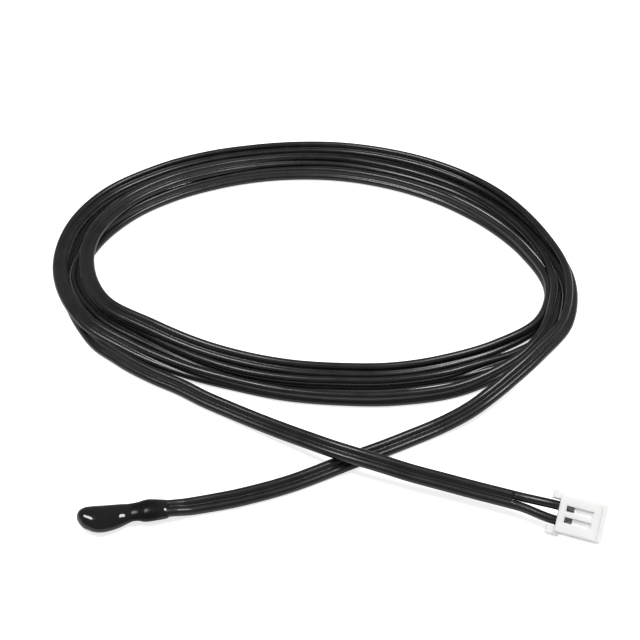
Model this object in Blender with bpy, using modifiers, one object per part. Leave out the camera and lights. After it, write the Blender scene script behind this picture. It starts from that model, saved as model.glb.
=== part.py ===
"""Epoxy bead thermistor on a long twin flat cable that ends in a two-way crimp housing.

Units are metres and +Z is up. The origin lies under the middle of the bead, on the surface that
the bead rests on. +X runs along the bead, from its sensing tip to the cable. The housing is
modelled in its own frame: x runs from the wire end to the mating end, y runs from one circuit
to the other, and z points out of the windowed face.
"""
import math

import bmesh
import bpy
from mathutils import Matrix, Vector

MM = 0.001

# Clearances
TOUCH_GAP = 0.3 * MM
INNER_GAP = 0.05 * MM

# Fineness of the rounded surfaces
CYLINDER_SIDES = 24
WIRE_RESOLUTION = 2
ROUNDING_SEGMENTS = 2
JOINT_SEGMENTS = 3
SHARP_ANGLE = math.radians(40.0)
WELD_DISTANCE = 0.001 * MM

# Twin cable: two insulated conductors joined by a thin web
WIRE_DIAMETER = 1.62 * MM
WIRE_PITCH = 1.65 * MM
WEB_THICKNESS = 0.8 * MM
CORE_DIAMETER = 0.55 * MM
CABLE_ARC_STEPS = 6
CABLE_POINT_SPACING = 4.0 * MM
STRAIGHT_EXIT = 1.0 * MM

# Epoxy bead, measured from its sensing tip
BEAD_LENGTH = 15.6 * MM
BEAD_HEIGHT = 3.4 * MM
BEAD_TIP_SHIFT = -0.2 * MM
BEAD_SIDES = 24
BEAD_NOSE_RINGS = 7
BEAD_STATION_STEPS = 3
# Each station: distance from the tip, sideways shift of the middle, half width, share of half height
BEAD_STATIONS = (
    (4.2 * MM, -0.90 * MM, 2.62 * MM, 1.00),
    (5.6 * MM, -0.78 * MM, 2.55 * MM, 0.98),
    (7.0 * MM, -0.54 * MM, 2.40 * MM, 0.94),
    (8.6 * MM, -0.12 * MM, 2.02 * MM, 0.85),
    (10.1 * MM, 0.08 * MM, 1.82 * MM, 0.77),
    (11.4 * MM, 0.00 * MM, 2.22 * MM, 0.93),
    (13.0 * MM, 0.00 * MM, 2.14 * MM, 0.91),
    (14.7 * MM, 0.00 * MM, 1.93 * MM, 0.72),
    (BEAD_LENGTH, 0.00 * MM, 1.85 * MM, 0.62),
)

# Pieces inside the bead, measured from its sensing tip
CHIP_CENTRE = 4.3 * MM
CHIP_SIDE = 1.6 * MM
CHIP_THICKNESS = 0.5 * MM
LEAD_DIAMETER = 0.3 * MM
LEAD_STRAIGHT = 1.4 * MM
JOINT_START = 9.2 * MM
JOINT_LENGTH = 2.4 * MM
JOINT_DIAMETER = 1.1 * MM
JOINT_END_DIAMETER = 0.86 * MM
JOINT_STEPS = 20
JACKET_START = 12.2 * MM

# Coil of cable: an oval ring, the outer shape of its turns. Band and height are those of a share of 1
COIL_BAND = 10.0 * MM
COIL_HEIGHT = 6.3 * MM
COIL_POINT_SPACING = 3.5 * MM
COIL_BAND_SIDES = 14
# Middle line of the ring: x, y, share of the band and height there
COIL_ROUTE = (
    (90.4 * MM, 65.1 * MM, 0.85),
    (75.8 * MM, 85.6 * MM, 1.28),
    (59.4 * MM, 98.2 * MM, 1.26),
    (40.3 * MM, 103.1 * MM, 1.20),
    (19.4 * MM, 101.3 * MM, 1.19),
    (-2.8 * MM, 90.0 * MM, 1.18),
    (-13.5 * MM, 65.1 * MM, 0.85),
    (3.4 * MM, 43.8 * MM, 0.88),
    (21.1 * MM, 32.0 * MM, 0.96),
    (40.3 * MM, 25.7 * MM, 0.98),
    (63.1 * MM, 25.6 * MM, 0.97),
    (86.7 * MM, 38.4 * MM, 0.78),
)

# Cable from the bead to the coil: x, y, lift off the surface, roll of the flat cable in degrees
BEAD_SIDE_ROUTE = (
    (11.1 * MM, 1.1 * MM, 0.15 * MM, 10.0),
    (14.9 * MM, 1.5 * MM, 0.02 * MM, 15.0),
    (19.1 * MM, 2.0 * MM, 0.00 * MM, 18.0),
    (22.9 * MM, 2.7 * MM, 0.00 * MM, 18.0),
    (26.5 * MM, 3.5 * MM, 0.00 * MM, 18.0),
    (30.1 * MM, 4.5 * MM, 0.00 * MM, 18.0),
    (35.0 * MM, 6.2 * MM, 0.00 * MM, 18.0),
    (40.3 * MM, 8.2 * MM, 0.00 * MM, 18.0),
    (47.1 * MM, 10.5 * MM, 0.00 * MM, 18.0),
    (53.0 * MM, 12.7 * MM, 0.00 * MM, 18.0),
    (57.1 * MM, 14.2 * MM, 0.15 * MM, 17.0),
    (61.2 * MM, 15.7 * MM, 0.70 * MM, 16.0),
    (64.3 * MM, 17.0 * MM, 1.30 * MM, 15.0),
    (66.8 * MM, 18.3 * MM, 1.90 * MM, 14.0),
    (69.5 * MM, 20.0 * MM, 2.35 * MM, 13.0),
    (72.1 * MM, 21.8 * MM, 2.70 * MM, 12.0),
)

# Cable from the coil to the plug, over the cable that comes from the bead
PLUG_SIDE_ROUTE = (
    (-8.7 * MM, 47.3 * MM, 0.15 * MM, 45.0),
    (-6.2 * MM, 43.5 * MM, 0.12 * MM, 43.0),
    (-3.1 * MM, 40.4 * MM, 0.10 * MM, 41.0),
    (0.0 * MM, 37.4 * MM, 0.10 * MM, 38.0),
    (5.0 * MM, 33.4 * MM, 0.10 * MM, 34.0),
    (9.9 * MM, 30.0 * MM, 0.10 * MM, 31.0),
    (14.6 * MM, 26.2 * MM, 0.10 * MM, 28.0),
    (19.4 * MM, 22.7 * MM, 0.20 * MM, 26.0),
    (24.4 * MM, 19.0 * MM, 0.50 * MM, 25.0),
    (29.1 * MM, 15.4 * MM, 1.10 * MM, 24.0),
    (33.6 * MM, 11.9 * MM, 1.90 * MM, 24.0),
    (37.6 * MM, 9.0 * MM, 2.45 * MM, 24.0),
    (41.8 * MM, 6.6 * MM, 2.60 * MM, 24.0),
    (46.0 * MM, 4.5 * MM, 2.45 * MM, 24.0),
    (50.3 * MM, 2.4 * MM, 2.20 * MM, 24.0),
    (55.6 * MM, 0.1 * MM, 1.95 * MM, 24.0),
    (60.7 * MM, -2.2 * MM, 1.80 * MM, 24.0),
    (64.5 * MM, -4.0 * MM, 1.85 * MM, 25.0),
    (67.3 * MM, -5.4 * MM, 1.95 * MM, 27.0),
)
WIRE_POINTS = 9

# Where the plug lies: middle of its wire-end face, its turn and its roll
PLUG_X = 73.3 * MM
PLUG_Y = -9.1 * MM
PLUG_YAW = math.radians(-25.2)
PLUG_ROLL = math.radians(35.0)

# Housing
CIRCUIT_PITCH = 2.5 * MM
BODY_LENGTH = 7.7 * MM
BODY_WIDTH = 6.4 * MM
BODY_THICKNESS = 4.6 * MM
BODY_ROUNDING = 0.2 * MM
EAR_REACH = 1.4 * MM
EAR_OVERLAP = 0.8 * MM
EAR_OUTSIDE = 0.5 * MM
EAR_INSIDE = 0.9 * MM
EAR_THICKNESS = 3.2 * MM
WINDOW_START = 1.2 * MM
WINDOW_LENGTH = 1.3 * MM
WINDOW_WIDTH = 1.0 * MM
RECESS_END = 5.6 * MM
RECESS_WIDTH = 1.0 * MM
RECESS_DEPTH = 0.4 * MM
CENTRE_RIB_WIDTH = 0.9 * MM
NOSE_LENGTH = 0.9 * MM
NOSE_STEP = 0.3 * MM
KEY_RIB_WIDTH = 0.8 * MM
KEY_RIB_HEIGHT = 0.5 * MM
KEY_RIB_START = 3.0 * MM
MOUTH_WIDTH = 1.1 * MM
MOUTH_WALL = 0.8 * MM
CUT_OVERSHOOT = 0.4 * MM

# Stamped crimp terminal, along the housing's x
SHEET = 0.15 * MM
INSULATION_GRIP_START = 0.2 * MM
INSULATION_GRIP_LENGTH = 1.1 * MM
CORE_GRIP_START = 1.8 * MM
CORE_GRIP_LENGTH = 1.3 * MM
CONTACT_START = 3.6 * MM
CONTACT_WIDTH = 1.55 * MM
STRIP_WIDTH = 0.6 * MM
GRIP_OPENING = math.radians(50.0)
GRIP_STEPS = 14

# Values worked out from the sizes above
CONTACT_END = BODY_LENGTH - MOUTH_WALL - INNER_GAP
INSULATION_END = INSULATION_GRIP_START + INSULATION_GRIP_LENGTH + INNER_GAP
CORE_END = CORE_GRIP_START + CORE_GRIP_LENGTH
BEAD_TOP_SIDE = max(shift + half for _, shift, half, _ in BEAD_STATIONS)
BEAD_LOW_SIDE = min(shift - half for _, shift, half, _ in BEAD_STATIONS)
CABLE_AXIS_Y = -(BEAD_TOP_SIDE + BEAD_LOW_SIDE) / 2
CABLE_AXIS_Z = BEAD_HEIGHT / 2
PLUG_Z = BODY_WIDTH / 2 * math.sin(PLUG_ROLL) + BODY_THICKNESS / 2 * math.cos(PLUG_ROLL)


def clear_scene():
    """Remove what the file held before."""
    for old in list(bpy.data.objects):
        bpy.data.objects.remove(old, do_unlink=True)


def new_collection(name):
    collection = bpy.data.collections.new(name)
    bpy.context.scene.collection.children.link(collection)
    return collection


def make_material(name, color, roughness, metallic=0.0):
    material = bpy.data.materials.new(name)
    material.use_nodes = True
    shader = material.node_tree.nodes["Principled BSDF"]
    shader.inputs["Base Color"].default_value = (*color, 1.0)
    shader.inputs["Roughness"].default_value = roughness
    shader.inputs["Metallic"].default_value = metallic
    return material


def add_piece(name, data, material, parent=None):
    """Put a mesh or a curve into the object's own collection."""
    piece = bpy.data.objects.new(name, data)
    PARTS.objects.link(piece)
    data.materials.append(material)
    piece.parent = parent
    return piece


def add_cutter(name, data, parent=None):
    """Put a cutter or a guide into the collection that isn't part of the object."""
    cutter = bpy.data.objects.new(name, data)
    CUTTERS.objects.link(cutter)
    cutter.hide_render = True
    cutter.display_type = "WIRE"
    cutter.parent = parent
    return cutter


def box_mesh(name, low, high):
    """A box between two corners."""
    low = Vector(low)
    high = Vector(high)
    size = Matrix.Diagonal((*(high - low), 1.0))
    shape = bmesh.new()
    bmesh.ops.create_cube(shape, size=1.0, matrix=Matrix.Translation((low + high) / 2) @ size)
    mesh = bpy.data.meshes.new(name)
    shape.to_mesh(mesh)
    shape.free()
    return mesh


def cylinder_mesh(name, radius, start, end, segments=CYLINDER_SIDES):
    """A cylinder along X, given by the middles of its two ends."""
    start = Vector(start)
    end = Vector(end)
    shape = bmesh.new()
    turn = Matrix.Rotation(math.pi / 2, 4, "Y")
    bmesh.ops.create_cone(
        shape, cap_ends=True, segments=segments, radius1=radius, radius2=radius,
        depth=(end - start).length, matrix=Matrix.Translation((start + end) / 2) @ turn)
    mesh = bpy.data.meshes.new(name)
    shape.to_mesh(mesh)
    shape.free()
    return mesh


def mesh_from(source):
    """The welded mesh that an object shows, with the object itself removed."""
    shown = source.evaluated_get(bpy.context.evaluated_depsgraph_get())
    mesh = bpy.data.meshes.new_from_object(shown)
    shape = bmesh.new()
    shape.from_mesh(mesh)
    bmesh.ops.remove_doubles(shape, verts=shape.verts, dist=WELD_DISTANCE)
    shape.transform(source.matrix_world)
    shape.to_mesh(mesh)
    shape.free()
    bpy.data.objects.remove(source, do_unlink=True)
    return mesh


def poly_curve(name, points, cyclic=False):
    curve = bpy.data.curves.new(name, "CURVE")
    curve.dimensions = "3D"
    spline = curve.splines.new("POLY")
    spline.points.add(len(points) - 1)
    for target, point in zip(spline.points, points):
        target.co = (*point, 1.0)
    spline.use_cyclic_u = cyclic
    return curve


def prism_mesh(name, outline, start, end):
    """An outline in the YZ plane, drawn out along X from start to end."""
    curve = poly_curve(name, [(y, z, 0.0) for y, z in outline], cyclic=True)
    curve.dimensions = "2D"
    curve.fill_mode = "BOTH"
    curve.extrude = (end - start) / 2
    blank = add_cutter(name, curve)
    across = Matrix(((0, 0, 1, 0), (1, 0, 0, 0), (0, 1, 0, 0), (0, 0, 0, 1)))
    blank.matrix_world = Matrix.Translation(((start + end) / 2, 0, 0)) @ across
    bpy.context.view_layer.update()
    return mesh_from(blank)


def combine(piece, other, operation):
    modifier = piece.modifiers.new(other.name, "BOOLEAN")
    modifier.operation = operation
    modifier.solver = "EXACT"
    modifier.object = other


def shade_round(piece):
    piece.data.shade_smooth()
    piece.data.set_sharp_from_angle(angle=SHARP_ANGLE)


def twin_outline(grow=0.0):
    """Section of the twin cable: two round conductors joined by a web, counter-clockwise."""
    radius = WIRE_DIAMETER / 2 + grow
    waist = math.asin((WEB_THICKNESS / 2 + grow) / radius)
    outline = []
    for side in (1, -1):
        for step in range(CABLE_ARC_STEPS + 1):
            angle = -(math.pi - waist) + step * 2 * (math.pi - waist) / CABLE_ARC_STEPS
            outline.append((
                side * (WIRE_PITCH / 2 + radius * math.cos(angle)),
                side * radius * math.sin(angle)))
    return outline


def rest_height(roll_degrees):
    """Height of the cable's middle when it lies on the surface at this roll."""
    return WIRE_DIAMETER / 2 + WIRE_PITCH / 2 * abs(math.sin(math.radians(roll_degrees)))


def smooth_route(points, spacing, closed=False):
    """Evenly spaced points on a smooth curve through the given ones, in any number of values."""
    if closed:
        points = [*points, points[0]]
    count = len(points)
    knots = [0.0]
    for before, after in zip(points, points[1:]):
        knots.append(knots[-1] + math.dist(before[:3], after[:3]))

    def slope(index, value):
        if closed and index in (0, count - 1):
            return (points[1][value] - points[-2][value]) / (knots[1] + knots[-1] - knots[-2])
        low = max(index - 1, 0)
        high = min(index + 1, count - 1)
        return (points[high][value] - points[low][value]) / (knots[high] - knots[low])

    steps = max(2, round(knots[-1] / spacing))
    route = []
    for step in range(steps + 1):
        along = knots[-1] * step / steps
        index = min(max(i for i in range(count) if knots[i] <= along + 1e-12), count - 2)
        span = knots[index + 1] - knots[index]
        t = (along - knots[index]) / span
        route.append(tuple(
            (2 * t**3 - 3 * t**2 + 1) * points[index][value]
            + (t**3 - 2 * t**2 + t) * span * slope(index, value)
            + (3 * t**2 - 2 * t**3) * points[index + 1][value]
            + (t**3 - t**2) * span * slope(index + 1, value)
            for value in range(len(points[0]))))
    return route[:-1] if closed else route


def lay(route):
    """Turn lift above the surface into the height of the cable's middle."""
    return [(x, y, lift + rest_height(roll), roll) for x, y, lift, roll in route]


def section_guide(name, outline):
    """A section for a curve to carry; it runs clockwise so that the surface faces out."""
    return add_cutter(name, poly_curve(name, [(y, z, 0.0) for y, z in reversed(outline)], cyclic=True))


def follow_section(curve, section):
    """Carry a section along a curve, kept upright."""
    curve.twist_mode = "Z_UP"
    curve.bevel_mode = "OBJECT"
    curve.bevel_object = section


def twin_cable(name, points, section, material):
    """A stretch of twin cable along x, y, z and roll."""
    stations = smooth_route(points, CABLE_POINT_SPACING)
    curve = poly_curve(name, [station[:3] for station in stations])
    follow_section(curve, section)
    curve.use_fill_caps = True
    for point, station in zip(curve.splines[0].points, stations):
        point.tilt = math.radians(station[3])
    return add_piece(name, curve, material)


def round_wire(name, points, diameter, material=None):
    """A round wire through the points; without a material it is a guide for a cutter."""
    curve = poly_curve(name, points)
    curve.bevel_depth = diameter / 2
    curve.bevel_resolution = WIRE_RESOLUTION
    curve.use_fill_caps = True
    if material is None:
        return add_cutter(name, curve)
    return add_piece(name, curve, material)


def blend(start, end, share):
    """Smooth step from start to end."""
    eased = share * share * (3 - 2 * share)
    return start + (end - start) * eased


def bead_rings():
    """Middle x, middle y, half width and half height of each ring after the tip."""
    first_x, first_shift, first_half, _ = BEAD_STATIONS[0]
    half_height = BEAD_HEIGHT / 2
    rings = []
    for ring in range(1, BEAD_NOSE_RINGS):
        angle = math.pi / 2 * ring / BEAD_NOSE_RINGS
        along = 1 - math.cos(angle)
        rings.append((
            first_x * along, blend(BEAD_TIP_SHIFT, first_shift, along),
            first_half * math.sin(angle), half_height * math.sin(angle)))
    for here, there in zip(BEAD_STATIONS, BEAD_STATIONS[1:]):
        for step in range(BEAD_STATION_STEPS):
            share = step / BEAD_STATION_STEPS
            rings.append((
                here[0] + (there[0] - here[0]) * share, blend(here[1], there[1], share),
                blend(here[2], there[2], share), blend(here[3], there[3], share) * half_height))
    last = BEAD_STATIONS[-1]
    rings.append((last[0], last[1], last[2], last[3] * half_height))
    return rings


def bead_mesh():
    """The dip's outside: a loft through oval rings, from the tip to the cable end."""
    shape = bmesh.new()
    tip = shape.verts.new(bead_place(0.0, BEAD_TIP_SHIFT))
    loops = []
    for x, shift, half_width, half_height in bead_rings():
        loop = []
        for side in range(BEAD_SIDES):
            angle = 2 * math.pi * side / BEAD_SIDES
            loop.append(shape.verts.new(bead_place(
                x, shift + half_width * math.cos(angle), half_height * math.sin(angle))))
        loops.append(loop)
    for side in range(BEAD_SIDES):
        after = (side + 1) % BEAD_SIDES
        shape.faces.new((tip, loops[0][after], loops[0][side]))
        for near, far in zip(loops, loops[1:]):
            shape.faces.new((near[side], near[after], far[after], far[side]))
    shape.faces.new(loops[-1])
    bmesh.ops.recalc_face_normals(shape, faces=shape.faces)
    mesh = bpy.data.meshes.new("epoxy_bead")
    shape.to_mesh(mesh)
    shape.free()
    return mesh


def bead_place(from_tip, sideways=0.0, height=0.0):
    """A place in the bead, given from its tip and the cable's axis."""
    return (from_tip - BEAD_LENGTH / 2, CABLE_AXIS_Y + sideways, CABLE_AXIS_Z + height)


def chip_shift():
    """Sideways place of the chip: the middle of the main lobe there."""
    return BEAD_STATIONS[0][1]


def lead_points(side):
    """A lead lies on the chip's face and then spreads to its conductor."""
    at_chip = chip_shift() + side * (CHIP_THICKNESS / 2 + INNER_GAP + LEAD_DIAMETER / 2)
    at_joint = side * WIRE_PITCH / 2
    corners = (
        (CHIP_CENTRE - CHIP_SIDE / 4, at_chip),
        (CHIP_CENTRE + CHIP_SIDE / 2, at_chip),
        (CHIP_CENTRE + LEAD_STRAIGHT, at_chip),
        (JOINT_START - LEAD_STRAIGHT / 2, at_joint),
        (JOINT_START, at_joint),
        (JOINT_START + JOINT_LENGTH / 2 - INNER_GAP, at_joint),
    )
    return smooth_route([bead_place(x, y) for x, y in corners], CHIP_SIDE / 4)


def build_bead():
    """The epoxy dip with the pockets that its pieces sit in."""
    bead = add_piece("epoxy_bead", bead_mesh(), EPOXY)
    half_chip = CHIP_SIDE / 2 + INNER_GAP
    half_plate = CHIP_THICKNESS / 2 + INNER_GAP
    cutters = [add_cutter("chip_pocket", box_mesh(
        "chip_pocket",
        bead_place(CHIP_CENTRE - half_chip, chip_shift() - half_plate, -half_chip),
        bead_place(CHIP_CENTRE + half_chip, chip_shift() + half_plate, half_chip)))]
    for side, letter in ((1, "a"), (-1, "b")):
        guide = round_wire("lead_bore_" + letter, lead_points(side), LEAD_DIAMETER + 2 * INNER_GAP)
        cutters.append(add_cutter("lead_pocket_" + letter, mesh_from(guide)))
        conductor = side * WIRE_PITCH / 2
        cutters.append(add_cutter("joint_pocket_" + letter, cylinder_mesh(
            "joint_pocket_" + letter, JOINT_DIAMETER / 2 + INNER_GAP,
            bead_place(JOINT_START - INNER_GAP, conductor),
            bead_place(JOINT_START + JOINT_LENGTH + INNER_GAP, conductor))))
        cutters.append(add_cutter("core_pocket_" + letter, cylinder_mesh(
            "core_pocket_" + letter, CORE_DIAMETER / 2 + INNER_GAP,
            bead_place(JOINT_START + JOINT_LENGTH / 2, conductor),
            bead_place(JACKET_START + INNER_GAP, conductor))))
    socket = prism_mesh("jacket_socket", twin_outline(INNER_GAP), 0.0,
                        BEAD_LENGTH - JACKET_START + CUT_OVERSHOOT)
    socket.transform(Matrix.Translation(bead_place(JACKET_START)))
    cutters.append(add_cutter("jacket_socket", socket))
    for cutter in cutters:
        combine(bead, cutter, "DIFFERENCE")
    shade_round(bead)


def build_sensor():
    """The chip, its leads, the solder joints and the cable's bared cores inside the bead."""
    half = CHIP_SIDE / 2
    add_piece("thermistor_chip", box_mesh(
        "thermistor_chip",
        bead_place(CHIP_CENTRE - half, chip_shift() - CHIP_THICKNESS / 2, -half),
        bead_place(CHIP_CENTRE + half, chip_shift() + CHIP_THICKNESS / 2, half)), CERAMIC)
    lead_bore = LEAD_DIAMETER / 2 + INNER_GAP
    core_bore = CORE_DIAMETER / 2 + INNER_GAP
    middle = JOINT_LENGTH / 2
    for side, letter in ((1, "a"), (-1, "b")):
        conductor = side * WIRE_PITCH / 2
        round_wire("chip_lead_" + letter, lead_points(side), LEAD_DIAMETER, TINNED)
        joint = add_piece("solder_joint_" + letter, cylinder_mesh(
            "solder_joint_" + letter, JOINT_DIAMETER / 2,
            bead_place(JOINT_START, conductor),
            bead_place(JOINT_START + JOINT_LENGTH, conductor), JOINT_STEPS), SOLDER)
        round_ends = joint.modifiers.new("round_ends", "BEVEL")
        round_ends.width = (JOINT_DIAMETER - JOINT_END_DIAMETER) / 2
        round_ends.segments = JOINT_SEGMENTS
        bores = (
            ("lead_hole_", lead_bore, -CUT_OVERSHOOT, middle + INNER_GAP),
            ("core_hole_", core_bore, middle, JOINT_LENGTH + CUT_OVERSHOOT),
        )
        for prefix, radius, start, end in bores:
            combine(joint, add_cutter(prefix + letter, cylinder_mesh(
                prefix + letter, radius,
                bead_place(JOINT_START + start, conductor),
                bead_place(JOINT_START + end, conductor))), "DIFFERENCE")
        add_piece("bead_core_" + letter, cylinder_mesh(
            "bead_core_" + letter, CORE_DIAMETER / 2,
            bead_place(JOINT_START + middle + 2 * INNER_GAP, conductor),
            bead_place(JACKET_START, conductor)), STRANDS)


def build_cable():
    """The coil's outer shape and the two stretches of cable that leave it."""
    band = section_guide("coil_band_section", [
        (COIL_BAND / 2 * math.cos(2 * math.pi * i / COIL_BAND_SIDES),
         COIL_HEIGHT / 2 * math.sin(2 * math.pi * i / COIL_BAND_SIDES))
        for i in range(COIL_BAND_SIDES)])
    stations = smooth_route(
        [(x, y, share * COIL_HEIGHT / 2, share) for x, y, share in COIL_ROUTE],
        COIL_POINT_SPACING, closed=True)
    ring = poly_curve("cable_coil", [station[:3] for station in stations], cyclic=True)
    follow_section(ring, band)
    for point, station in zip(ring.splines[0].points, stations):
        point.radius = station[3]
    add_piece("cable_coil", ring, JACKET)

    section = section_guide("twin_section", twin_outline())
    at_bead = [
        (*bead_place(from_tip), 0.0)
        for from_tip in (JACKET_START + INNER_GAP, BEAD_LENGTH, BEAD_LENGTH + STRAIGHT_EXIT)]
    twin_cable("bead_side_cable", at_bead + lay(BEAD_SIDE_ROUTE), section, JACKET)
    twin_cable("plug_side_cable", lay(PLUG_SIDE_ROUTE), section, JACKET)


def split_start(side):
    """Where one conductor leaves the end of the twin cable, and the cable's heading there."""
    before, end = (Vector(point[:3]) for point in lay(PLUG_SIDE_ROUTE)[-2:])
    roll = math.radians(PLUG_SIDE_ROUTE[-1][3])
    heading = (end - before).normalized()
    level = Vector((0, 0, 1)).cross(heading).normalized()
    upward = heading.cross(level)
    across = level * math.cos(roll) + upward * math.sin(roll)
    return end + heading * TOUCH_GAP + across * side * WIRE_PITCH / 2, heading


def build_single_wires(plug_matrix):
    """The two insulated wires from the end of the twin cable into the housing."""
    for side, letter in ((1, "a"), (-1, "b")):
        start, heading = split_start(side)
        entry = plug_matrix @ Vector((0.0, side * CIRCUIT_PITCH / 2, 0.0))
        end = plug_matrix @ Vector((INSULATION_END, side * CIRCUIT_PITCH / 2, 0.0))
        inward = (end - entry).normalized()
        pull = (entry - start).length / 3
        bend = [start, start + heading * pull, entry - inward * pull, entry]
        points = []
        for step in range(WIRE_POINTS):
            t = step / (WIRE_POINTS - 1)
            points.append(
                bend[0] * (1 - t)**3 + bend[1] * 3 * t * (1 - t)**2
                + bend[2] * 3 * t * t * (1 - t) + bend[3] * t**3)
        points.append(end)
        round_wire("single_wire_" + letter, points, WIRE_DIAMETER, JACKET)


def grip_outline(inner_radius, centre_y):
    """A sheet grip curled round a wire, open at the windowed side."""
    outline = []
    sweep = 2 * math.pi - GRIP_OPENING
    for radius, direction in ((inner_radius + SHEET, 1), (inner_radius, -1)):
        for step in range(GRIP_STEPS + 1):
            share = step / GRIP_STEPS if direction > 0 else 1 - step / GRIP_STEPS
            angle = math.pi / 2 + GRIP_OPENING / 2 + sweep * share
            outline.append((centre_y + radius * math.cos(angle), radius * math.sin(angle)))
    return outline


def build_terminal(side, letter, plug):
    """A stamped terminal: insulation grip, core grip and box contact on one strip."""
    centre = side * CIRCUIT_PITCH / 2
    insulation_radius = WIRE_DIAMETER / 2 + INNER_GAP
    core_radius = CORE_DIAMETER / 2 + INNER_GAP
    half = CONTACT_WIDTH / 2
    name = "crimp_terminal_" + letter
    terminal = add_piece(name, box_mesh(
        name, (CONTACT_START, centre - half, -half), (CONTACT_END, centre + half, half)), TINNED, plug)
    hollow = add_cutter("contact_hollow_" + letter, box_mesh(
        "contact_hollow_" + letter,
        (CONTACT_START - CUT_OVERSHOOT, centre - half + SHEET, -half + SHEET),
        (CONTACT_END + CUT_OVERSHOOT, centre + half - SHEET, half - SHEET)), plug)
    combine(terminal, hollow, "DIFFERENCE")
    insulation_low = -insulation_radius - SHEET
    core_low = -core_radius - SHEET
    insulation_stop = INSULATION_GRIP_START + INSULATION_GRIP_LENGTH
    riser_start = INSULATION_END + INNER_GAP
    strip = STRIP_WIDTH / 2
    pieces = (
        ("core_grip_", prism_mesh("core_grip", grip_outline(core_radius, centre),
                                  CORE_GRIP_START, CORE_END)),
        ("insulation_grip_", prism_mesh("insulation_grip", grip_outline(insulation_radius, centre),
                                        INSULATION_GRIP_START, insulation_stop)),
        ("front_strip_", box_mesh("front_strip", (CORE_END - SHEET, centre - strip, -half),
                                  (CONTACT_START + SHEET, centre + strip, core_low + SHEET))),
        ("rear_floor_", box_mesh("rear_floor", (insulation_stop - SHEET, centre - strip, insulation_low),
                                 (riser_start + SHEET, centre + strip, insulation_low + SHEET))),
        ("rear_riser_", box_mesh("rear_riser", (riser_start, centre - strip, insulation_low),
                                 (CORE_GRIP_START + SHEET, centre + strip, core_low + SHEET))),
    )
    for prefix, mesh in pieces:
        combine(terminal, add_cutter(prefix + letter, mesh, plug), "UNION")


def build_plug(plug):
    """The moulded housing: body, ears, windows, recesses, cavities and key ribs."""
    half_width = BODY_WIDTH / 2
    half_thickness = BODY_THICKNESS / 2
    body = add_piece("plug_housing", box_mesh(
        "plug_housing", (0, -half_width, -half_thickness),
        (BODY_LENGTH, half_width, half_thickness)), NYLON, plug)
    rounding = body.modifiers.new("rounding", "BEVEL")
    rounding.width = BODY_ROUNDING
    rounding.segments = ROUNDING_SEGMENTS
    additions = []
    cuts = []
    cavity = WIRE_DIAMETER / 2 + 2 * INNER_GAP + SHEET
    front_cavity = CONTACT_WIDTH / 2 + INNER_GAP
    for side, letter in ((1, "a"), (-1, "b")):
        ear_faces = sorted((side * (half_width - EAR_INSIDE), side * (half_width + EAR_OUTSIDE)))
        additions.append(("ear_" + letter, (-EAR_REACH, ear_faces[0], -EAR_THICKNESS / 2),
                          (EAR_OVERLAP, ear_faces[1], EAR_THICKNESS / 2)))
        centre = side * CIRCUIT_PITCH / 2
        additions.append(("key_rib_" + letter,
                          (KEY_RIB_START, centre - KEY_RIB_WIDTH / 2, -half_thickness - KEY_RIB_HEIGHT),
                          (BODY_LENGTH - NOSE_LENGTH, centre + KEY_RIB_WIDTH / 2, -front_cavity - SHEET)))
        cuts.append(("rear_cavity_" + letter, (-CUT_OVERSHOOT, centre - cavity, -cavity),
                     (CONTACT_START - 2 * INNER_GAP, centre + cavity, cavity)))
        cuts.append(("front_cavity_" + letter,
                     (WINDOW_START, centre - front_cavity, -front_cavity),
                     (BODY_LENGTH - MOUTH_WALL, centre + front_cavity, front_cavity)))
        cuts.append(("mouth_" + letter, (CONTACT_START, centre - MOUTH_WIDTH / 2, -MOUTH_WIDTH / 2),
                     (BODY_LENGTH + CUT_OVERSHOOT, centre + MOUTH_WIDTH / 2, MOUTH_WIDTH / 2)))
        window = sorted((side * CENTRE_RIB_WIDTH / 2, side * (CENTRE_RIB_WIDTH / 2 + WINDOW_WIDTH)))
        cuts.append(("window_" + letter, (WINDOW_START, window[0], 0),
                     (WINDOW_START + WINDOW_LENGTH, window[1], half_thickness + CUT_OVERSHOOT)))
        recess = sorted((side * CENTRE_RIB_WIDTH / 2, side * (CENTRE_RIB_WIDTH / 2 + RECESS_WIDTH)))
        cuts.append(("recess_" + letter, (WINDOW_START, recess[0], half_thickness - RECESS_DEPTH),
                     (RECESS_END, recess[1], half_thickness + CUT_OVERSHOOT)))
    cuts.append(("nose", (BODY_LENGTH - NOSE_LENGTH, -half_width - CUT_OVERSHOOT,
                          half_thickness - NOSE_STEP),
                 (BODY_LENGTH + CUT_OVERSHOOT, half_width + CUT_OVERSHOOT,
                  half_thickness + CUT_OVERSHOOT)))
    for name, low, high in additions:
        combine(body, add_cutter(name, box_mesh(name, low, high), plug), "UNION")
    for name, low, high in cuts:
        combine(body, add_cutter(name, box_mesh(name, low, high), plug), "DIFFERENCE")


clear_scene()
PARTS = new_collection("bead_thermistor")
CUTTERS = new_collection("cutters")
EPOXY = make_material("black_epoxy", (0.012, 0.012, 0.013), 0.12)
JACKET = make_material("black_pvc", (0.016, 0.016, 0.018), 0.4)
CERAMIC = make_material("sensor_ceramic", (0.12, 0.10, 0.09), 0.6)
TINNED = make_material("tinned_metal", (0.75, 0.75, 0.74), 0.3, 1.0)
SOLDER = make_material("solder", (0.62, 0.62, 0.63), 0.35, 1.0)
STRANDS = make_material("tinned_strands", (0.70, 0.69, 0.66), 0.4, 1.0)
NYLON = make_material("white_nylon", (0.86, 0.86, 0.84), 0.4)

build_bead()
build_sensor()
build_cable()

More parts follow.
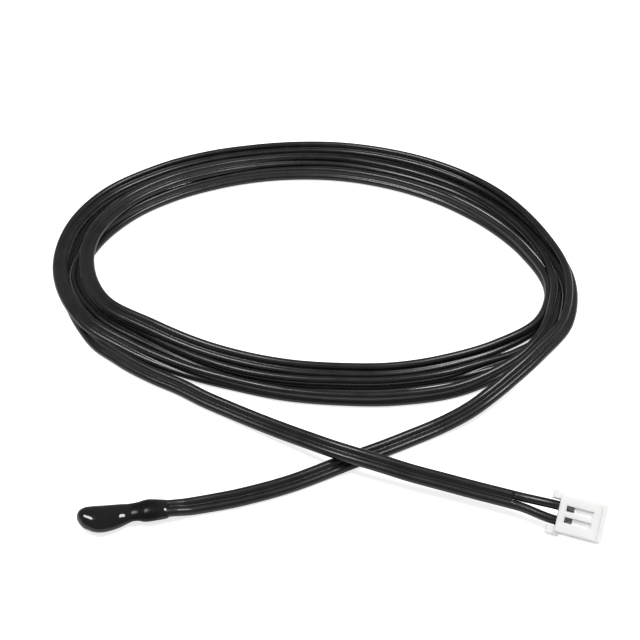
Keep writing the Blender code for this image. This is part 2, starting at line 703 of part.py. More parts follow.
plug_frame = bpy.data.objects.new("plug_frame", None)
CUTTERS.objects.link(plug_frame)
plug_frame.matrix_world = (
    Matrix.Translation((PLUG_X, PLUG_Y, PLUG_Z))
    @ Matrix.Rotation(PLUG_YAW, 4, "Z") @ Matrix.Rotation(PLUG_ROLL, 4, "X"))
bpy.context.view_layer.update()
build_single_wires(plug_frame.matrix_world.copy())
build_plug(plug_frame)
for circuit_side, circuit_letter in ((1, "a"), (-1, "b")):
    build_terminal(circuit_side, circuit_letter, plug_frame)
    add_piece("plug_core_" + circuit_letter, cylinder_mesh(
        "plug_core_" + circuit_letter, CORE_DIAMETER / 2,
        (INSULATION_END + INNER_GAP, circuit_side * CIRCUIT_PITCH / 2, 0),
        (CORE_END, circuit_side * CIRCUIT_PITCH / 2, 0)), STRANDS, plug_frame)
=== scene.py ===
"""Looks of the bead thermistor: its long twin cable, glossy bead, moulded plug, floor and lights.

Lengths in the tables are in millimetres and become metres with MM.
"""
import math

import bmesh
import bpy
from mathutils import Matrix, Vector


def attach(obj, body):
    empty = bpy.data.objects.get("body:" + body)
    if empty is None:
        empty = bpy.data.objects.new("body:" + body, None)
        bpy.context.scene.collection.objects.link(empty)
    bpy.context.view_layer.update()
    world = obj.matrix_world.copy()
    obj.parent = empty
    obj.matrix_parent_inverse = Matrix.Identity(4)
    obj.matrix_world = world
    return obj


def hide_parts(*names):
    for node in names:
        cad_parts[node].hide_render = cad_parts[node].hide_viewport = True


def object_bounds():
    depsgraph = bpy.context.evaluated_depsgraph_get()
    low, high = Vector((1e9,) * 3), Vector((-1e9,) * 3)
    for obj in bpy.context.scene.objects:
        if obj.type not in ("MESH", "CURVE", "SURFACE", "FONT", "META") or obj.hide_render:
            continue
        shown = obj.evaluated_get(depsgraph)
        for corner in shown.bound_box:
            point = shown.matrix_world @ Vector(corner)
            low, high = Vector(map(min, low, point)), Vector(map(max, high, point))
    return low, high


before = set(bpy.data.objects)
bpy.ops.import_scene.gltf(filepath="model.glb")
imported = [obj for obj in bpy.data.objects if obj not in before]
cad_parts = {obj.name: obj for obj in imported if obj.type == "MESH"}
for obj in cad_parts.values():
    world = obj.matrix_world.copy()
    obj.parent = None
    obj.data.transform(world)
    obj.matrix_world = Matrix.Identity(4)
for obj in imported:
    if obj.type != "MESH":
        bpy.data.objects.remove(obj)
CAD_BOX = [list(corner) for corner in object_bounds()]

MM = 0.001

# Camera: the photograph's viewing angle
CAMERA_PLACE = (22.14 * MM, -106.77 * MM, 140.02 * MM)
CAMERA_TURN = (math.radians(48.0), 0.0, math.radians(-6.3))
CAMERA_LENS = 55.8
CAMERA_NEAR = 0.01

# Twin cable
WIRE_DIAMETER = 1.62 * MM
WIRE_PITCH = 1.65 * MM
WEB_THICKNESS = 0.8 * MM
POINT_SPACING = 1.0
ARC_STEPS = 14

# Plug: middle of its wire-end face, its turn and its roll, and how far apart its wires go in
PLUG_PLACE = (73.3 * MM, -9.1 * MM, 3.72 * MM)
PLUG_YAW = math.radians(-25.2)
PLUG_ROLL = math.radians(35.0)
CIRCUIT_PITCH = 2.5 * MM

# Single wires: each starts a little inside the twin cable, and a little thinner than its conductor
WIRE_INSIDE = 0.5 * MM
WIRE_OVERLAP = 1.0 * MM
WIRE_SHARE = 0.995
WIRE_SIDES = 28
WIRE_STEPS = 20
SIDES = ((1, "a"), (-1, "b"))

# Bead: its tip's sideways shift and height, and where the dip is widest
BEAD_LENGTH = 15.6
BEAD_AXIS_Y = 0.65
BEAD_TIP = (-0.2, 1.75)
BEAD_WIDEST = 4.2
BEAD_NOSE_RINGS = 26
BEAD_SIDES = 72
BEAD_SPACING = 0.16
# Sections of the bead: distance from the tip, sideways shift, half width, half height, middle's height
BEAD_STATIONS = (
    (1.6, -0.55, 2.06, 1.63, 1.77), (3.0, -0.82, 2.51, 1.62, 1.67), (4.4, -0.90, 2.62, 1.56, 1.60),
    (5.6, -0.78, 2.55, 1.49, 1.54), (6.6, -0.62, 2.42, 1.41, 1.50), (7.4, -0.46, 2.27, 1.34, 1.48),
    (8.2, -0.24, 2.08, 1.15, 1.41), (8.9, -0.06, 1.92, 1.05, 1.42), (9.5, 0.06, 1.82, 1.02, 1.46),
    (10.4, 0.08, 1.88, 1.10, 1.51), (11.2, 0.03, 2.10, 1.25, 1.58), (11.7, 0.00, 2.18, 1.33, 1.63),
    (12.3, 0.00, 2.18, 1.35, 1.64), (13.2, 0.00, 2.10, 1.32, 1.62), (14.2, 0.00, 1.98, 1.27, 1.59),
    (14.9, 0.00, 1.90, 1.17, 1.57), (15.3, 0.00, 1.84, 1.02, 1.57), (15.6, 0.00, 1.72, 0.88, 1.58),
)

# Dull band of the bead's skin: where it begins and ends along x, its roughness and share of gloss
DULL_START = (0.8 * MM, 1.9 * MM)
DULL_END = (5.4 * MM, 6.9 * MM)
DULL_ROUGHNESS = 0.14
DULL_GLOSS = 0.4
GLOSS = 0.5

# Range of a noise texture that materials spread over their own values
NOISE_LOW = 0.3
NOISE_HIGH = 0.7

# Metals: name, darkest and lightest colour, roughness, metallic
METALS = (
    ("tinned", (0.66, 0.66, 0.65), (0.80, 0.80, 0.79), 0.28, 1.0),
    ("terminal", (0.84, 0.84, 0.83), (0.92, 0.92, 0.91), 0.5, 0.25),
    ("solder", (0.52, 0.52, 0.54), (0.68, 0.68, 0.69), 0.36, 1.0),
    ("strands", (0.74, 0.73, 0.70), (0.86, 0.85, 0.82), 0.45, 0.4),
)

# Finish of each solid, and of each pair of solids that ends in a and b
FINISHES = {
    "epoxy_bead": "epoxy", "thermistor_chip": "ceramic", "plug_housing": "nylon",
    "cable_coil": "pvc", "bead_side_cable": "pvc", "plug_side_cable": "pvc",
}
PAIR_FINISHES = {
    "chip_lead": "tinned", "solder_joint": "solder", "bead_core": "strands",
    "plug_core": "strands", "crimp_terminal": "terminal", "single_wire": "pvc",
}

# Lights: place, size and power
LEFT_LIGHT = ((-0.16, 0.06, 0.55), 0.19, 1.75)
RIGHT_LIGHT = ((0.32, 0.06, 0.52), 0.19, 1.75)
AMBIENT = 0.27

# Floor
FLOOR_GLOW = 0.72
FLOOR_DROP = 0.05 * MM
FLOOR_HALF = 1.5

# Middle line of the coil: x, y
RING = (
    (90.4, 65.1), (75.8, 85.6), (59.4, 98.2), (40.3, 103.1), (19.4, 101.3), (-2.8, 90.0),
    (-13.5, 65.1), (3.4, 43.8), (21.1, 32.0), (40.3, 25.7), (63.1, 25.6), (86.7, 38.4),
)
RING_CENTRE = (40.3, 65.1)
RING_SPACING = 1.0

# Cable inside the bead and straight out of it: x, y, height, roll of the flat cable in degrees
CABLE_START = ((4.45, 0.65, 1.7, 0.0), (7.8, 0.65, 1.7, 0.0), (8.8, 0.65, 1.7, 0.0))
# Cable from there to the coil: x, y, lift off the surface, roll
BEAD_SIDE = (
    (11.1, 1.1, 0.15, 10.0), (14.9, 1.5, 0.02, 15.0), (19.1, 2.0, 0.0, 18.0), (22.9, 2.7, 0.0, 18.0),
    (26.5, 3.5, 0.0, 18.0), (30.1, 4.5, 0.0, 18.0), (35.0, 6.2, 0.0, 18.0), (40.3, 8.2, 0.0, 18.0),
    (47.1, 10.5, 0.0, 18.0), (53.0, 12.7, 0.0, 18.0), (57.1, 14.2, 0.15, 17.0), (61.2, 15.7, 0.70, 16.0),
    (64.3, 17.0, 1.30, 15.0), (66.8, 18.3, 1.90, 14.0), (69.5, 20.0, 2.35, 15.0), (72.1, 21.8, 2.70, 18.0),
)
# Cable from the coil to the plug, in the same values
PLUG_SIDE = (
    (-8.7, 47.3, 0.15, 45.0), (-6.2, 43.5, 0.12, 43.0), (-3.1, 40.4, 0.10, 41.0), (0.0, 37.4, 0.10, 38.0),
    (5.0, 33.4, 0.10, 34.0), (9.9, 30.0, 0.10, 31.0), (14.6, 26.2, 0.10, 28.0), (19.4, 22.7, 0.20, 26.0),
    (24.4, 19.0, 0.50, 25.0), (29.1, 15.4, 1.10, 24.0), (33.6, 11.9, 1.90, 24.0), (37.6, 9.0, 2.45, 24.0),
    (41.8, 6.6, 2.60, 24.0), (46.0, 4.5, 2.45, 24.0), (50.3, 2.4, 2.20, 24.0), (55.6, 0.1, 1.95, 24.0),
    (60.7, -2.2, 1.80, 24.0), (64.5, -4.0, 1.85, 25.0), (67.3, -5.4, 1.95, 27.0),
)
# The turns of the coil: angle round it, offset outwards from its middle line, height, roll
TURNS = (
    (-42, 3.8, 4.5, 28), (-30, 2.4, 4.7, 38), (-15, 2.4, 4.7, 54), (0, 1.7, 4.4, 78),
    (15, 4.6, 4.0, 98), (30, 6.7, 3.7, 115), (45, 6.4, 3.9, 128), (60, 6.0, 3.9, 132),
    (75, 6.2, 3.8, 132), (90, 6.1, 3.8, 132), (105, 5.9, 3.8, 132), (120, 6.2, 3.8, 132),
    (135, 6.0, 3.8, 136), (150, 5.5, 3.8, 144), (165, 4.3, 3.8, 160), (180, 2.0, 3.7, 178),
    (195, 5.0, 4.0, 20), (210, 4.5, 2.8, 38), (225, 3.3, 1.9, 62), (240, 2.6, 1.65, 82),
    (270, 2.4, 1.64, 88), (300, 2.4, 1.62, 78), (315, 1.6, 2.2, 55), (325, 0.0, 3.0, 28),
    (335, -0.9, 3.1, 25), (345, -0.2, 2.7, 45), (360, 0.0, 1.7, 76), (375, 2.1, 1.65, 98),
    (390, 3.6, 1.65, 108), (405, 3.0, 1.8, 108), (420, 2.4, 2.0, 112), (435, 2.2, 2.4, 118),
    (450, 1.5, 2.9, 122), (465, 0.4, 3.6, 126), (480, -0.4, 4.3, 130), (495, -0.6, 4.5, 132),
    (510, -1.3, 4.6, 138), (525, -2.0, 4.7, 150), (540, -3.8, 4.6, 172), (555, -0.8, 4.6, 12),
    (570, -1.5, 4.3, 34), (585, -2.4, 3.5, 42), (600, -3.0, 3.0, 42), (630, -4.3, 2.4, 42),
    (660, -4.9, 2.0, 52), (675, -4.2, 1.9, 62), (690, -3.1, 1.75, 75), (705, -1.8, 1.66, 86),
    (720, -3.3, 1.64, 92), (750, -1.5, 1.6, 112), (780, -2.3, 1.6, 120), (810, -2.0, 1.55, 122),
    (840, -2.0, 1.55, 122), (870, -2.2, 1.5, 134), (885, -1.5, 1.5, 150), (900, -1.3, 1.9, 170),
    (915, 0.5, 2.0, 10), (930, 0.1, 1.8, 42), (960, -0.2, 1.64, 82), (990, -1.4, 1.63, 82),
    (1018, -1.6, 1.63, 82), (1028, -1.2, 1.42, 45), (1038, -0.6, 0.98, 10), (1050, 0.5, 0.85, 0),
    (1065, 2.6, 0.96, -10), (1080, 2.6, 1.02, -15), (1095, 5.0, 1.02, -15), (1110, 6.8, 1.02, -15),
    (1125, 7.0, 1.02, -15), (1140, 7.0, 1.02, -15), (1170, 7.0, 1.02, -15), (1200, 7.2, 1.02, -15),
    (1230, 6.0, 1.02, -15), (1245, 3.4, 0.9, 2), (1260, 0.9, 0.9, 6), (1269, 2.9, 1.2, 26),
)
TURN_STEP = 15
HALF_TURN = 180


def smooth_route(points, spacing, closed=False):
    """Evenly spaced points on a smooth curve through the given ones, in any number of values."""
    if closed:
        points = [*points, points[0]]
    count = len(points)
    knots = [0.0]
    for before, after in zip(points, points[1:]):
        knots.append(knots[-1] + math.dist(before[:3], after[:3]))

    def slope(index, value):
        if closed and index in (0, count - 1):
            return (points[1][value] - points[-2][value]) / (knots[1] + knots[-1] - knots[-2])
        low = max(index - 1, 0)
        high = min(index + 1, count - 1)
        return (points[high][value] - points[low][value]) / (knots[high] - knots[low])

    steps = max(2, round(knots[-1] / spacing))
    route = []
    index = 0
    for step in range(steps + 1):
        along = knots[-1] * step / steps
        while index < count - 2 and knots[index + 1] <= along:
            index += 1
        span = knots[index + 1] - knots[index]
        t = (along - knots[index]) / span
        route.append(tuple(
            (2 * t**3 - 3 * t**2 + 1) * points[index][value]
            + (t**3 - 2 * t**2 + t) * span * slope(index, value)
            + (3 * t**2 - 2 * t**3) * points[index + 1][value]
            + (t**3 - t**2) * span * slope(index + 1, value)
            for value in range(len(points[0]))))
    return route[:-1] if closed else route


def ring_line():
    """Angle, place and outward direction at each step of the coil's middle line."""
    line = smooth_route([(x, y, 0.0) for x, y in RING], RING_SPACING, closed=True)
    count = len(line)
    found = []
    for index, (x, y, _) in enumerate(line):
        before = line[index - 1]
        after = line[(index + 1) % count]
        run = math.dist(before, after)
        angle = math.degrees(math.atan2(y - RING_CENTRE[1], x - RING_CENTRE[0])) % 360
        found.append((angle, x, y, (after[1] - before[1]) / run, -(after[0] - before[0]) / run))
    return sorted(found)


def ring_place(line, angle, offset):
    """A point beside the coil's middle line, at this angle round the coil."""
    angle %= 360
    after = next((i for i, row in enumerate(line) if row[0] > angle), 0)
    low, high = line[after - 1], line[after]
    span = (high[0] - low[0]) % 360
    share = ((angle - low[0]) % 360) / span
    x, y, out_x, out_y = (a + (b - a) * share for a, b in zip(low[1:], high[1:]))
    return x + out_x * offset, y + out_y * offset


def rest_height(roll):
    """Height of the cable's middle when it lies on the surface at this roll."""
    return (WIRE_DIAMETER + WIRE_PITCH * abs(math.sin(math.radians(roll)))) / 2 / MM


def lying_stations(rows):
    """Stations of an uncoiled stretch, from its lift off the surface."""
    return [(x, y, lift + rest_height(roll), roll) for x, y, lift, roll in rows]


def coil_stations():
    """Stations of the coil's turns, with steps of about TURN_STEP degrees between the rows of TURNS."""
    line = ring_line()
    stations = []
    for (angle, *low), (next_angle, *high) in zip(TURNS, TURNS[1:]):
        steps = round((next_angle - angle) / TURN_STEP)
        for step in range(steps):
            share = step / steps
            offset, height, roll = (a + (b - a) * share for a, b in zip(low, high))
            height = max(height, rest_height(roll))
            place = ring_place(line, angle + (next_angle - angle) * share, offset)
            stations.append((*place, height, roll))
    angle, offset, height, roll = TURNS[-1]
    return [*stations, (*ring_place(line, angle, offset), height, roll)]


def cable_stations():
    """The whole cable from the bead to where its wires part: x, y, height and roll, in mm."""
    stations = [*CABLE_START, *lying_stations(BEAD_SIDE), *coil_stations(), *lying_stations(PLUG_SIDE)]
    # Half a turn leaves the flat cable looking the same: it rolls the nearer way, seen from the plug
    for index in range(len(stations) - 2, -1, -1):
        *place, roll = stations[index]
        roll += HALF_TURN * round((stations[index + 1][3] - roll) / HALF_TURN)
        stations[index] = (*place, roll)
    return smooth_route(stations, POINT_SPACING)


def make_camera():
    data = bpy.data.cameras.new("camera")
    data.lens = CAMERA_LENS
    data.clip_start = CAMERA_NEAR
    camera = bpy.data.objects.new("camera", data)
    camera.location = CAMERA_PLACE
    camera.rotation_euler = CAMERA_TURN
    bpy.context.scene.collection.objects.link(camera)
    bpy.context.scene.camera = camera


def add_mesh(name, points, faces, material, uvs=None):
    """A smooth mesh piece that rides on the part."""
    mesh = bpy.data.meshes.new(name)
    mesh.from_pydata(points, [], faces)
    shape = bmesh.new()
    shape.from_mesh(mesh)
    bmesh.ops.recalc_face_normals(shape, faces=shape.faces)
    shape.to_mesh(mesh)
    shape.free()
    if uvs:
        layer = mesh.uv_layers.new(name="along")
        for loop in mesh.loops:
            layer.data[loop.index].uv = uvs[loop.vertex_index]
    mesh.shade_smooth()
    mesh.materials.append(material)
    piece = bpy.data.objects.new(name, mesh)
    bpy.context.scene.collection.objects.link(piece)
    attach(piece, "root")
    return piece


def tube(name, stations, outline, material):
    """A section carried along stations of place, sideways and upward direction, with capped ends."""
    points = []
    uvs = []
    run = 0.0
    before = stations[0][0]
    for place, side, top in stations:
        run += (place - before).length
        before = place
        for index, (across, over) in enumerate(outline):
            points.append(place + side * across + top * over)
            uvs.append((run / MM, index / len(outline)))
    count = len(outline)
    faces = []
    for ring in range(len(stations) - 1):
        for index in range(count):
            after = (index + 1) % count
            faces.append((
                ring * count + index, ring * count + after,
                (ring + 1) * count + after, (ring + 1) * count + index))
    faces.append(tuple(reversed(range(count))))
    faces.append(tuple(range((len(stations) - 1) * count, len(stations) * count)))
    return add_mesh(name, points, faces, material, uvs)


def directions(places, rolls):
    """Sideways and upward direction at each place of a line, rolled about the line."""
    found = []
    last = len(places) - 1
    for index, (place, roll) in enumerate(zip(places, rolls)):
        heading = (places[min(index + 1, last)] - places[max(index - 1, 0)]).normalized()
        level = Vector((0, 0, 1)).cross(heading).normalized()
        upward = heading.cross(level)
        angle = math.radians(roll)
        found.append((
            place, level * math.cos(angle) + upward * math.sin(angle),
            upward * math.cos(angle) - level * math.sin(angle)))
    return found


def twin_outline():
    """Section of the twin cable: two round conductors joined by a web."""
    radius = WIRE_DIAMETER / 2
    waist = math.asin(WEB_THICKNESS / 2 / radius)
    outline = []
    for side in (1, -1):
        for step in range(ARC_STEPS + 1):
            angle = -(math.pi - waist) + step * 2 * (math.pi - waist) / ARC_STEPS
            outline.append((
                side * (WIRE_PITCH / 2 + radius * math.cos(angle)), side * radius * math.sin(angle)))
    return outline


def wire_outline():
    """Section of a single wire."""
    radius = WIRE_DIAMETER / 2 * WIRE_SHARE
    angles = [2 * math.pi * side / WIRE_SIDES for side in range(WIRE_SIDES)]
    return [(radius * math.cos(angle), radius * math.sin(angle)) for angle in angles]


def make_cable(material):
    """The twin cable, and its stations for what joins it."""
    rows = cable_stations()
    stations = directions([Vector(row[:3]) * MM for row in rows], [row[3] for row in rows])
    cable = tube("twin_cable", stations, twin_outline(), material)
    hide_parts("cable_coil", "bead_side_cable", "plug_side_cable")
    return cable, stations


def make_wire(side, letter, cable_end, material):
    """One conductor from the end of the twin cable into the housing."""
    place, across, top = cable_end
    heading = across.cross(top)
    plug = (
        Matrix.Translation(PLUG_PLACE) @ Matrix.Rotation(PLUG_YAW, 4, "Z")
        @ Matrix.Rotation(PLUG_ROLL, 4, "X"))
    start = place + across * side * WIRE_PITCH / 2
    entry = plug @ Vector((0, side * CIRCUIT_PITCH / 2, 0))
    end = plug @ Vector((WIRE_INSIDE, side * CIRCUIT_PITCH / 2, 0))
    inward = (end - entry).normalized()
    pull = (entry - start).length / 3
    bend = (start, start + heading * pull, entry - inward * pull, entry)
    line = [start - heading * WIRE_OVERLAP]
    for step in range(WIRE_STEPS + 1):
        t = step / WIRE_STEPS
        line.append(
            bend[0] * (1 - t)**3 + bend[1] * 3 * t * (1 - t)**2
            + bend[2] * 3 * t * t * (1 - t) + bend[3] * t**3)
    line.append(end)
    wire = tube("wire_" + letter, directions(line, [0.0] * len(line)), wire_outline(), material)
    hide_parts("single_wire_" + letter)
    return wire


def nose_width(along):
    """Width of the bead's rounded nose at this distance from the tip, as a share of its widest."""
    return math.sqrt(1 - (1 - along / BEAD_WIDEST)**2)


def bead_rings():
    """Distance from the tip, sideways shift, half width, half height and middle height of each ring."""
    distance, shift, half_width, half_height, middle = BEAD_STATIONS[0]
    tip_shift, tip_middle = BEAD_TIP
    rings = []
    for ring in range(1, BEAD_NOSE_RINGS):
        angle = math.pi / 2 * ring / BEAD_NOSE_RINGS
        share = 1 - math.cos(angle)
        eased = share * share * (3 - 2 * share)
        rings.append((
            distance * share, tip_shift + (shift - tip_shift) * eased,
            half_width * nose_width(distance * share) / nose_width(distance),
            half_height * math.sin(angle), tip_middle + (middle - tip_middle) * eased))
    return rings + smooth_route(BEAD_STATIONS, BEAD_SPACING)


def make_bead(material):
    """The dip as a smooth loft of oval rings, with its sensing tip closed to a point."""
    points = [Vector((-BEAD_LENGTH / 2, BEAD_AXIS_Y + BEAD_TIP[0], BEAD_TIP[1])) * MM]
    rings = bead_rings()
    for along, shift, half_width, half_height, middle in rings:
        for side in range(BEAD_SIDES):
            angle = 2 * math.pi * side / BEAD_SIDES
            points.append(Vector((
                along - BEAD_LENGTH / 2, BEAD_AXIS_Y + shift + half_width * math.cos(angle),
                middle + half_height * math.sin(angle))) * MM)
    faces = []
    for side in range(BEAD_SIDES):
        after = (side + 1) % BEAD_SIDES
        faces.append((0, 1 + after, 1 + side))
        for ring in range(len(rings) - 1):
            near = 1 + ring * BEAD_SIDES
            far = near + BEAD_SIDES
            faces.append((near + side, near + after, far + after, far + side))
    faces.append(tuple(range(1 + (len(rings) - 1) * BEAD_SIDES, 1 + len(rings) * BEAD_SIDES)))
    bead = add_mesh("bead_skin", points, faces, material)
    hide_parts("epoxy_bead")
    return bead


def seen_directly(tree):
    """1 for a ray from the camera or through a clear surface, else 0."""
    path = tree.nodes.new("ShaderNodeLightPath")
    seen = tree.nodes.new("ShaderNodeMath")
    seen.operation = "MAXIMUM"
    tree.links.new(path.outputs["Is Camera Ray"], seen.inputs[0])
    tree.links.new(path.outputs["Is Transmission Ray"], seen.inputs[1])
    return seen.outputs["Value"]


class Shade:
    """A procedural material under construction."""

    def __init__(self, name, color, roughness, metallic=0.0):
        self.material = bpy.data.materials.new(name)
        self.material.use_nodes = True
        self.tree = self.material.node_tree
        self.shader = self.tree.nodes["Principled BSDF"]
        self.set("Base Color", (*color, 1.0))
        self.set("Roughness", roughness)
        self.set("Metallic", metallic)

    def set(self, socket, value):
        self.shader.inputs[socket].default_value = value

    def node(self, kind, **values):
        made = self.tree.nodes.new(kind)
        for key, value in values.items():
            if key in made.inputs:
                made.inputs[key].default_value = value
            else:
                setattr(made, key, value)
        return made

    def link(self, source, target):
        self.tree.links.new(source, target)

    def noise(self, source, scale, detail):
        """Noise over the object's own coordinates or its UVs, each axis with its scale per metre."""
        where = self.node("ShaderNodeTexCoord")
        mapping = self.node("ShaderNodeMapping", Scale=scale)
        made = self.node("ShaderNodeTexNoise", Scale=1.0, Detail=detail, Roughness=0.5)
        self.link(where.outputs[source], mapping.inputs["Vector"])
        self.link(mapping.outputs["Vector"], made.inputs["Vector"])
        return made.outputs["Fac"]

    def even_noise(self, scale, detail):
        return self.noise("Object", (scale, scale, scale), detail)

    def ranged(self, factor, before, after, ease="LINEAR"):
        """A factor carried from one range of values to another."""
        made = self.node("ShaderNodeMapRange", interpolation_type=ease)
        made.inputs["From Min"].default_value, made.inputs["From Max"].default_value = before
        made.inputs["To Min"].default_value, made.inputs["To Max"].default_value = after
        self.link(factor, made.inputs["Value"])
        return made.outputs["Result"]

    def color_from(self, factor, low, high):
        ramp = self.node("ShaderNodeValToRGB")
        for element, place, color in zip(ramp.color_ramp.elements, (NOISE_LOW, NOISE_HIGH), (low, high)):
            element.position = place
            element.color = (*color, 1.0)
        self.link(factor, ramp.inputs["Fac"])
        self.link(ramp.outputs["Color"], self.shader.inputs["Base Color"])

    def roughness_from(self, factor, low, high):
        rough = self.ranged(factor, (NOISE_LOW, NOISE_HIGH), (low, high))
        self.link(rough, self.shader.inputs["Roughness"])
        return rough

    def bump_from(self, factor, strength, distance, before=None):
        bump = self.node("ShaderNodeBump", Strength=strength, Distance=distance)
        self.link(factor, bump.inputs["Height"])
        if before:
            self.link(before, bump.inputs["Normal"])
        self.link(bump.outputs["Normal"], self.shader.inputs["Normal"])
        return bump.outputs["Normal"]


def pvc_material():
    """Black cable sheath: drawn lines along it, clouded gloss and fine grain."""
    pvc = Shade("pvc_black", (0.007, 0.007, 0.0075), 0.3)
    pvc.set("Specular IOR Level", GLOSS)
    drawn = pvc.noise("UV", (0.10, 46.0, 1.0), 4.0)
    cloud = pvc.even_noise(260.0, 5.0)
    grain = pvc.even_noise(3200.0, 3.0)
    pvc.color_from(cloud, (0.0055, 0.0055, 0.006), (0.011, 0.011, 0.012))
    pvc.roughness_from(cloud, 0.25, 0.32)
    lines = pvc.bump_from(drawn, 0.3, 0.03 * MM)
    pvc.bump_from(grain, 0.15, 0.01 * MM, lines)
    return pvc.material


def dull_band(shade, rough):
    """More roughness and less gloss over the waist and the lobe at the cable's end."""
    where = shade.node("ShaderNodeTexCoord")
    split = shade.node("ShaderNodeSeparateXYZ")
    shade.link(where.outputs["Object"], split.inputs["Vector"])
    band = shade.node("ShaderNodeMath", operation="MULTIPLY")
    shade.link(shade.ranged(split.outputs["X"], DULL_START, (0.0, 1.0), "SMOOTHSTEP"), band.inputs[0])
    shade.link(shade.ranged(split.outputs["X"], DULL_END, (1.0, 0.0), "SMOOTHSTEP"), band.inputs[1])
    added = shade.node("ShaderNodeMath", operation="MULTIPLY_ADD")
    added.inputs[1].default_value = DULL_ROUGHNESS
    shade.link(band.outputs["Value"], added.inputs[0])
    shade.link(rough, added.inputs[2])
    shade.link(added.outputs["Value"], shade.shader.inputs["Roughness"])
    gloss = shade.ranged(band.outputs["Value"], (0.0, 1.0), (GLOSS, GLOSS * DULL_GLOSS))
    shade.link(gloss, shade.shader.inputs["Specular IOR Level"])


def epoxy_material():
    """Glossy black dip with a slow swell and fine specks."""
    epoxy = Shade("epoxy_black", (0.006, 0.006, 0.0065), 0.1)
    swell = epoxy.even_noise(330.0, 1.0)
    specks = epoxy.even_noise(2600.0, 4.0)
    epoxy.color_from(swell, (0.004, 0.004, 0.0045), (0.008, 0.008, 0.0085))
    dull_band(epoxy, epoxy.roughness_from(specks, 0.07, 0.13))
    epoxy.bump_from(swell, 0.25, 0.3 * MM)
    return epoxy.material


def nylon_material():
    """White moulded nylon: softened edges, light scattered inside, clouded gloss and fine grain."""
    nylon = Shade("nylon_white", (0.9, 0.9, 0.89), 0.5)
    cloud = nylon.even_noise(300.0, 3.0)
    grain = nylon.even_noise(5000.0, 2.0)
    nylon.color_from(cloud, (0.885, 0.885, 0.875), (0.92, 0.92, 0.915))
    nylon.roughness_from(cloud, 0.45, 0.56)
    soft_edges = nylon.node("ShaderNodeBevel", Radius=0.08 * MM, samples=6)
    nylon.bump_from(grain, 0.15, 0.01 * MM, soft_edges.outputs["Normal"])
    nylon.set("Subsurface Weight", 0.6)
    nylon.set("Subsurface Radius", (1.6 * MM, 1.6 * MM, 1.4 * MM))
    nylon.set("Subsurface Scale", 1.0)
    return nylon.material


def metal_material(name, low, high, rough, metallic):
    """Metal with a clouded tone and fine lines along x."""
    metal = Shade(name + "_metal", low, rough, metallic)
    cloud = metal.even_noise(1400.0, 4.0)
    lines = metal.noise("Object", (500.0, 9000.0, 9000.0), 2.0)
    metal.color_from(cloud, low, high)
    metal.roughness_from(lines, rough - 0.06, rough + 0.08)
    metal.bump_from(lines, 0.2, 0.01 * MM)
    return metal.material


def ceramic_material():
    """Dark fired ceramic of the sensing chip."""
    ceramic = Shade("sensor_ceramic", (0.12, 0.10, 0.09), 0.6)
    grain = ceramic.even_noise(4000.0, 4.0)
    ceramic.color_from(grain, (0.09, 0.075, 0.068), (0.16, 0.135, 0.12))
    ceramic.roughness_from(grain, 0.5, 0.7)
    ceramic.bump_from(grain, 0.3, 0.02 * MM)
    return ceramic.material


def floor_material():
    """Pale floor that the camera sees as white, and that keeps the object's shadow."""
    floor = Shade("pale_floor", (0.93, 0.93, 0.93), 0.7)
    floor.set("Specular IOR Level", 0.1)
    floor.color_from(floor.even_noise(3.0, 2.0), (0.925, 0.925, 0.925), (0.935, 0.935, 0.935))
    floor.set("Emission Color", (1.0, 1.0, 1.0, 1.0))
    glow = floor.node("ShaderNodeMath", operation="MULTIPLY")
    glow.inputs[1].default_value = FLOOR_GLOW
    floor.link(seen_directly(floor.tree), glow.inputs[0])
    floor.link(glow.outputs["Value"], floor.shader.inputs["Emission Strength"])
    return floor.material


def make_materials():
    """The finish of every surface, by name."""
    made = {"pvc": pvc_material(), "epoxy": epoxy_material(), "nylon": nylon_material()}
    for name, low, high, rough, metallic in METALS:
        made[name] = metal_material(name, low, high, rough, metallic)
    made["ceramic"] = ceramic_material()
    made["floor"] = floor_material()
    return made


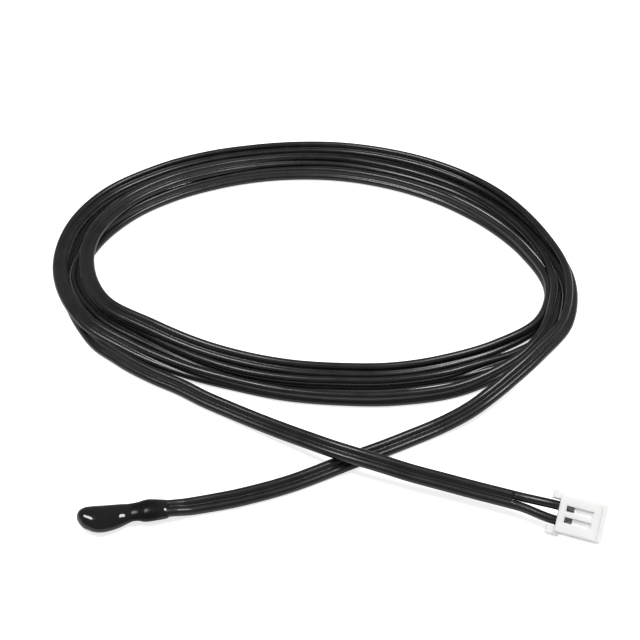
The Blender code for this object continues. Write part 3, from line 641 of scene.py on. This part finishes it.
def dress_nodes(materials):
    """Give each solid that shows, or sits inside another, its finish."""
    pairs = {name + "_" + letter: finish for name, finish in PAIR_FINISHES.items() for _, letter in SIDES}
    for name, finish in {**FINISHES, **pairs}.items():
        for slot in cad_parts[name].material_slots:
            slot.material = materials[finish]


def make_stage(material):
    corners = [
        (-FLOOR_HALF, -FLOOR_HALF, 0), (FLOOR_HALF, -FLOOR_HALF, 0),
        (FLOOR_HALF, FLOOR_HALF, 0), (-FLOOR_HALF, FLOOR_HALF, 0)]
    mesh = bpy.data.meshes.new("floor")
    mesh.from_pydata(corners, [], [(0, 1, 2, 3)])
    mesh.materials.append(material)
    floor = bpy.data.objects.new("floor", mesh)
    floor.location.z = -FLOOR_DROP
    bpy.context.scene.collection.objects.link(floor)


def add_light(name, place, size, power):
    """A round lamp that faces the middle of the part."""
    data = bpy.data.lights.new(name, "AREA")
    data.shape = "DISK"
    data.size = size
    data.energy = power
    light = bpy.data.objects.new(name, data)
    light.location = place
    middle = Vector(((CAD_BOX[0][axis] + CAD_BOX[1][axis]) / 2 for axis in range(3)))
    light.rotation_euler = (middle - Vector(place)).to_track_quat("-Z", "Y").to_euler()
    bpy.context.scene.collection.objects.link(light)


def make_world():
    """White where the camera sees it, and a plain dim light elsewhere."""
    world = bpy.data.worlds.new("studio")
    bpy.context.scene.world = world
    world.use_nodes = True
    tree = world.node_tree
    background = tree.nodes["Background"]
    background.inputs["Color"].default_value = (1.0, 1.0, 1.0, 1.0)
    strength = tree.nodes.new("ShaderNodeMapRange")
    strength.inputs["To Min"].default_value = AMBIENT
    strength.inputs["To Max"].default_value = 1.0
    tree.links.new(seen_directly(tree), strength.inputs["Value"])
    tree.links.new(strength.outputs["Result"], background.inputs["Strength"])


make_camera()
MATERIALS = make_materials()
dress_nodes(MATERIALS)
make_bead(MATERIALS["epoxy"])
cable, cable_line = make_cable(MATERIALS["pvc"])
wires = [make_wire(side, letter, cable_line[-1], MATERIALS["pvc"]) for side, letter in SIDES]
make_stage(MATERIALS["floor"])
add_light("left_light", *LEFT_LIGHT)
add_light("right_light", *RIGHT_LIGHT)
make_world()
bpy.context.scene.view_settings.view_transform = "Standard"
